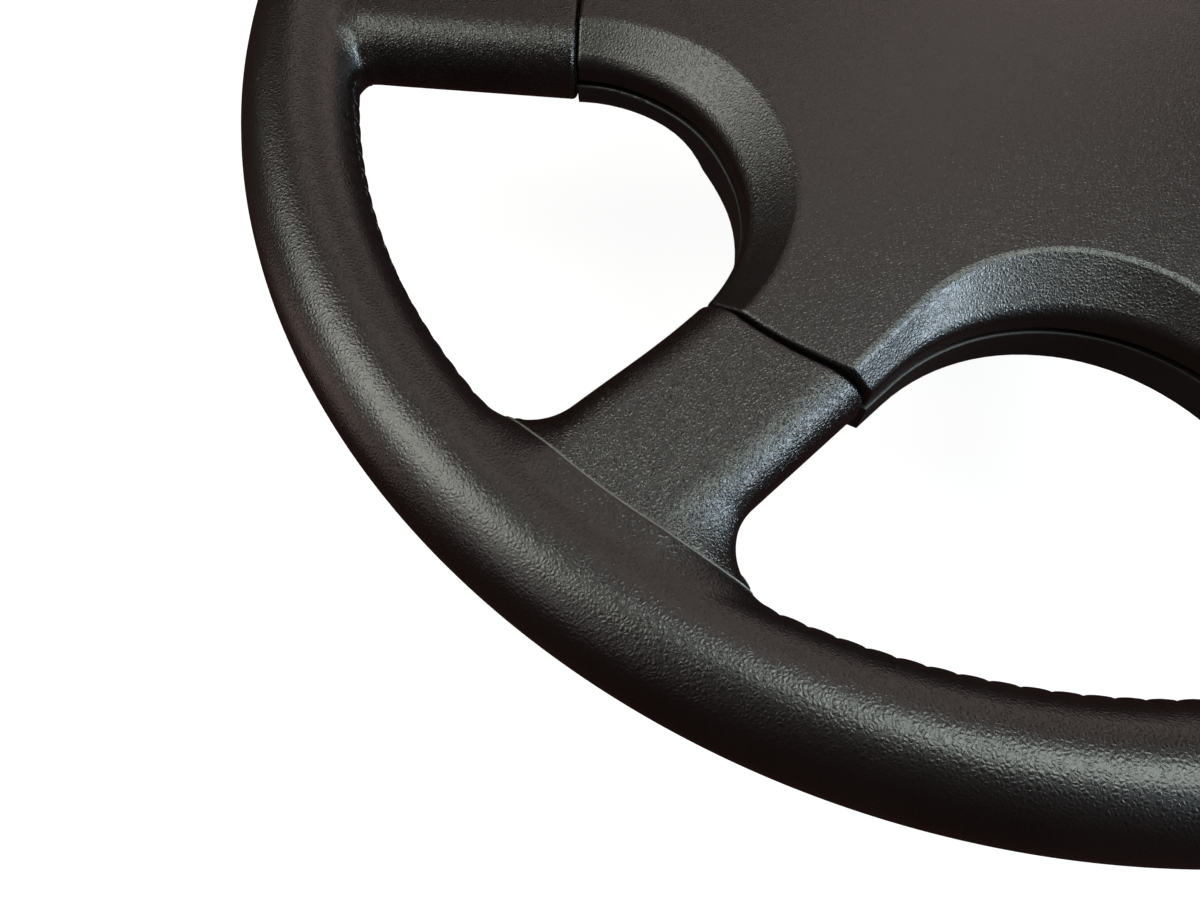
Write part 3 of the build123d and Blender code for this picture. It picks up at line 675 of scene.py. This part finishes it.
# Rim thread: one slanting stitch over the seam at each notch that no spoke covers
STITCH_POINTS = 9
STITCH_LEAN = 0.3
STITCH_REACH = 1.9
STITCH_ARCH = 0.55
STITCH_SINK = 0.25
FREE_ENOUGH = 0.9
stitch_share = np.linspace(-1, 1, STITCH_POINTS)
stitch_turns = np.arange(STITCHES) * 2 * math.pi / STITCHES
turn_grid = stitch_turns[:, None] + STITCH_LEAN * stitch_share[None] * 2 * math.pi / STITCHES
angle_grid = seam_angle + 0 * turn_grid + stitch_share[None] * STITCH_REACH / GRIP_RADIUS
arch = STITCH_ARCH * (1 - stitch_share**2) - STITCH_SINK
stitch_points, stitch_rays, stitch_free = rim_surface(turn_grid, angle_grid, arch + 0 * turn_grid)
clear = stitch_free.min(1) > FREE_ENOUGH
tubes("rim_thread", list(zip(stitch_points[clear], stitch_rays[clear])), THREAD_RADIUS, thread)

# Spoke sleeves: rings from the pad's end to the seam on the rim
STATION_HALVINGS = 40
SLEEVE_LIMITS = (2.0, 60.0)
SLEEVE_COLUMNS = 144
SLEEVE_ROWS = 56
SLEEVE_SHARES = (0.05, 0.985)
ROLL_ROWS = 6
BACK_GROOVE_WIDTH = 0.8
BACK_GROOVE_DEPTH = 0.55
WELT_SINK = 0.05

# Rows that close the sleeve inside its rolled end, and rows that tuck its other end under the welt
MOUTH_REACH = 2.0
MOUTH_SINKS = (5.0, 3.0)
TUCK_SHARES = (0.995, 1.0, 1.0, 0.99)
TUCK_SINKS = (0.02, 0.12, 0.7, 1.6)

# Stitches along the back of a sleeve, and the knots at its ends
BACK_START = 0.08
BACK_SHARE = 0.84
BACK_LEAN = 0.36
BACK_REACH = 1.6
BACK_ARCH = 0.5
BACK_SINK = 0.2
KNOT_TURN = 0.03
KNOT_LENGTH = 1.1
KNOT_REACH = 1.5
KNOT_ARCH = 0.45
KNOT_SINK = 0.15


def sleeve_length(side):
    """Length of a sleeve along the middle of its spoke."""
    if side in UPPER_SIDES:
        return math.sqrt(SEAM_RADIUS**2 - UPPER_DROP**2) - PAD_END_X - END_GAP
    ends = (PAD_END_RADIUS + END_GAP, SEAM_RADIUS)
    start, stop = (-lower_lean + math.sqrt(lower_lean**2 - LOWER_CROSSING**2 + r**2) for r in ends)
    return stop - start


def station(side, share, lateral, height):
    """Point of a spoke's cross surface, which turns from the pad's end into the rim's seam circle."""
    origin, direction = SPOKES[side].origin, SPOKES[side].direction
    normal = np.array([-direction[1], direction[0]])
    low = np.full(np.shape(lateral), SPOKE_START)
    high = np.full(np.shape(lateral), SPOKE_LIMIT)
    for _ in range(STATION_HALVINGS):
        middle = (low + high) / 2
        plan = origin + middle[..., None] * direction + lateral[..., None] * normal
        radius = np.hypot(plan[..., 0], plan[..., 1])
        if side in UPPER_SIDES:
            start = np.abs(plan[..., 0]) - PAD_END_X - END_GAP
        else:
            start = radius - PAD_END_RADIUS - END_GAP
        past = (1 - share) * start + share * (radius - SEAM_RADIUS) > 0
        high = np.where(past, middle, high)
        low = np.where(past, low, middle)
    plan = origin + low[..., None] * direction + lateral[..., None] * normal
    return np.concatenate([plan, height[..., None]], -1)


def sleeve_surface(side, share, around, sink=0.0):
    """Points of a sleeve and their outward directions, with a sewn groove along the back."""
    low, high = (np.full(share.shape, limit) for limit in SLEEVE_LIMITS)
    for _ in range(HALVINGS):
        middle = (low + high) / 2
        points = station(side, share, middle * np.cos(around), middle * np.sin(around))
        out = wrapped_distance(points) > 0
        high = np.where(out, middle, high)
        low = np.where(out, low, middle)
    lateral = low * np.cos(around)
    back = np.where(np.sin(around) < 0, np.exp(-(lateral / BACK_GROOVE_WIDTH)**2), 0)
    radius = low - sink - BACK_GROOVE_DEPTH * back
    direction = SPOKES[side].direction
    outward = np.stack([-direction[1] * np.cos(around), direction[0] * np.cos(around), np.sin(around)], -1)
    return station(side, share, radius * np.cos(around), radius * np.sin(around)), outward


around = np.linspace(0, 2 * math.pi, SLEEVE_COLUMNS, endpoint=False) - math.pi / 2
quarter = np.linspace(0, math.pi / 2, ROLL_ROWS)[::-1]
for side in SPOKES:
    length = sleeve_length(side)
    shares = np.concatenate([[MOUTH_REACH / length, 0.0], SLEEVE_ROLL * (1 - np.sin(quarter)) / length,
                             np.linspace(*SLEEVE_SHARES, SLEEVE_ROWS), TUCK_SHARES])
    sinks = np.concatenate([MOUTH_SINKS, SLEEVE_ROLL * (1 - np.cos(quarter)),
                            np.zeros(SLEEVE_ROWS), TUCK_SINKS])
    share_grid, around_grid = np.meshgrid(shares, around, indexing="ij")
    points, _ = sleeve_surface(side, share_grid, around_grid, sinks[:, None])
    skin = finish_mesh(f"spoke_skin_{side}", points, grid_faces(*points.shape[:2], False), spoke_hide)
    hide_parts(f"spoke_leather_{side}")

    # Welt: a fine bead along the sleeve's seam; on a lower sleeve its pale base colour is a painted highlight
    # line along the seam
    loop, outward = sleeve_surface(side, np.ones(around.shape), around, WELT_SINK)
    # Lower sleeves get the welt with the painted highlight, upper sleeves the plain spoke leather
    welt_plain_or_highlit = spoke_hide if side in UPPER_SIDES else highlit_welt_hide
    tubes(f"seam_welt_{side}", [(loop, outward)], WELT_RADIUS, welt_plain_or_highlit, closed=True)

    # Thread along the seam on the back of the sleeve
    count = int(length * BACK_SHARE / STITCH_PITCH)
    paths = []
    for i in range(count):
        middle = BACK_START + BACK_SHARE * (i + 0.5) / count
        share = middle + stitch_share * BACK_LEAN * STITCH_PITCH / length
        slant = -math.pi / 2 + stitch_share * BACK_REACH / SPOKE_HALF
        paths.append(sleeve_surface(side, share, slant, -BACK_ARCH * (1 - stitch_share**2) + BACK_SINK))

    # Knots where a lower sleeve's seam meets the seam inside the rim
    knots = () if side in UPPER_SIDES else (KNOT_TURN, math.pi - KNOT_TURN)
    for place in knots:
        for lean in (-1, 1):
            share = 1 + (stitch_share - 1) * KNOT_LENGTH / length
            slant = place + lean * stitch_share * KNOT_REACH / (SPOKES[side].width / 2)
            paths.append(sleeve_surface(side, share, slant, -KNOT_ARCH * (1 - stitch_share**2) + KNOT_SINK))
    tubes(f"spoke_thread_{side}", paths, THREAD_RADIUS, thread)

# Pale floor
FLOOR_HALF = 7.0
FLOOR_GREY = 0.25
PALE_GLOW = 0.93
WHITE = (1.0, 1.0, 1.0, 1.0)
floor_paint = Shader("floor_paint")
floor_paint.set(Base_Color=(FLOOR_GREY, FLOOR_GREY, FLOOR_GREY, 1.0), Roughness=0.9, Specular_IOR_Level=0.0)
floor_paint.set(Emission_Color=WHITE, Emission_Strength=PALE_GLOW)
floor_mesh = bpy.data.meshes.new("floor")
corners = [(x * FLOOR_HALF, y * FLOOR_HALF, 0.0) for x, y in ((-1, -1), (1, -1), (1, 1), (-1, 1))]
floor_mesh.from_pydata(corners, [], [(0, 1, 2, 3)])
floor_mesh.materials.append(floor_paint.material)
floor = linked("floor", floor_mesh)
floor.visible_glossy = False

# Pale round backdrop, which only the camera sees
BACKDROP_RADIUS = 6.5
backdrop_paint = Shader("backdrop_paint")
backdrop_paint.set(Base_Color=(0.0, 0.0, 0.0, 1.0), Roughness=1.0, Specular_IOR_Level=0.0)
backdrop_paint.set(Emission_Color=WHITE, Emission_Strength=PALE_GLOW)
dome_mesh = bpy.data.meshes.new("backdrop")
dome_shape = bmesh.new()
bmesh.ops.create_uvsphere(dome_shape, u_segments=48, v_segments=24, radius=BACKDROP_RADIUS)
dome_shape.to_mesh(dome_mesh)
dome_shape.free()
dome_mesh.materials.append(backdrop_paint.material)
dome = linked("backdrop", dome_mesh)
dome.visible_glossy = False
dome.visible_diffuse = False
dome.visible_transmission = False
dome.visible_shadow = False

# Softboxes
WHEEL_MIDDLE = Vector((-0.04, -0.08, 0.085))
LIGHT_DISTANCE = 1.3
POWER_PER_AREA = 4
STEEP = 0.6


def soft_light(name, tilt_x, tilt_y, size, strength, colour):
    """Softbox aimed at the wheel, placed by its tilt in degrees from overhead towards +X and +Y."""
    tilt = math.radians(math.hypot(tilt_x, tilt_y))
    turn = math.atan2(tilt_y, tilt_x)
    way = Vector((math.sin(tilt) * math.cos(turn), math.sin(tilt) * math.sin(turn), math.cos(tilt)))
    lamp = bpy.data.lights.new(name, "AREA")
    lamp.shape = "RECTANGLE"
    lamp.size, lamp.size_y = size
    lamp.energy = POWER_PER_AREA * strength * size[0] * size[1]
    lamp.color = colour
    across = Vector((0, 1, 0)) if abs(way.y) < STEEP else Vector((0, 0, 1))
    side = across.cross(way).normalized()
    up = way.cross(side)
    place = Matrix.Translation(WHEEL_MIDDLE + LIGHT_DISTANCE * way)
    linked(name, lamp).matrix_world = place @ Matrix((side, up, way)).transposed().to_4x4()


soft_light("left_box", -40, 2, (0.85, 0.72), 3.7, (0.97, 1.0, 0.91))
soft_light("right_box", 26, 1, (0.88, 0.46), 5.0, (0.91, 1.0, 0.93))
soft_light("right_window", 66, -17, (0.4, 0.42), 16.5, (0.74, 0.89, 1.0))
soft_light("back_panel", 4, 43, (1.1, 0.36), 1.02, (1.0, 0.84, 0.79))
soft_light("back_corner", 32, 66, (0.7, 0.5), 0.75, (1.0, 0.82, 0.78))
soft_light("left_wall", -90, -8, (0.5, 0.6), 0.7, (1.0, 0.76, 0.7))
soft_light("front_fill", -46, -34, (0.55, 0.36), 1.0, (1.0, 0.96, 0.92))

# Faint warm surround
world = bpy.data.worlds.new("studio")
world.use_nodes = True
sky = world.node_tree.nodes["Background"]
sky.inputs["Color"].default_value = (1.0, 0.4, 0.38, 1.0)
sky.inputs["Strength"].default_value = 0.032
bpy.context.scene.world = world
bpy.context.scene.view_settings.view_transform = "Standard"

# The photograph's camera: place in metres, and the image's right and viewing directions
CAMERA_PLACE = Vector((-0.0885, -0.1988, 0.2501))
CAMERA_RIGHT = Vector((0.99755, 0.06794, -0.01674))
CAMERA_LOOK = Vector((-0.04301, 0.40662, -0.91258))
FOCAL_LENGTH = 27.0
SENSOR_WIDTH = 36.0
camera_data = bpy.data.cameras.new("camera")
camera_data.lens = FOCAL_LENGTH
camera_data.sensor_width = SENSOR_WIDTH
camera_data.clip_start = 0.01
camera = linked("camera", camera_data)
look = CAMERA_LOOK.normalized()
right = CAMERA_RIGHT.normalized()
up = right.cross(look)
turn = Matrix((right, up, -look)).transposed().to_4x4()
camera.matrix_world = Matrix.Translation(CAMERA_PLACE) @ turn
bpy.context.scene.camera = camera
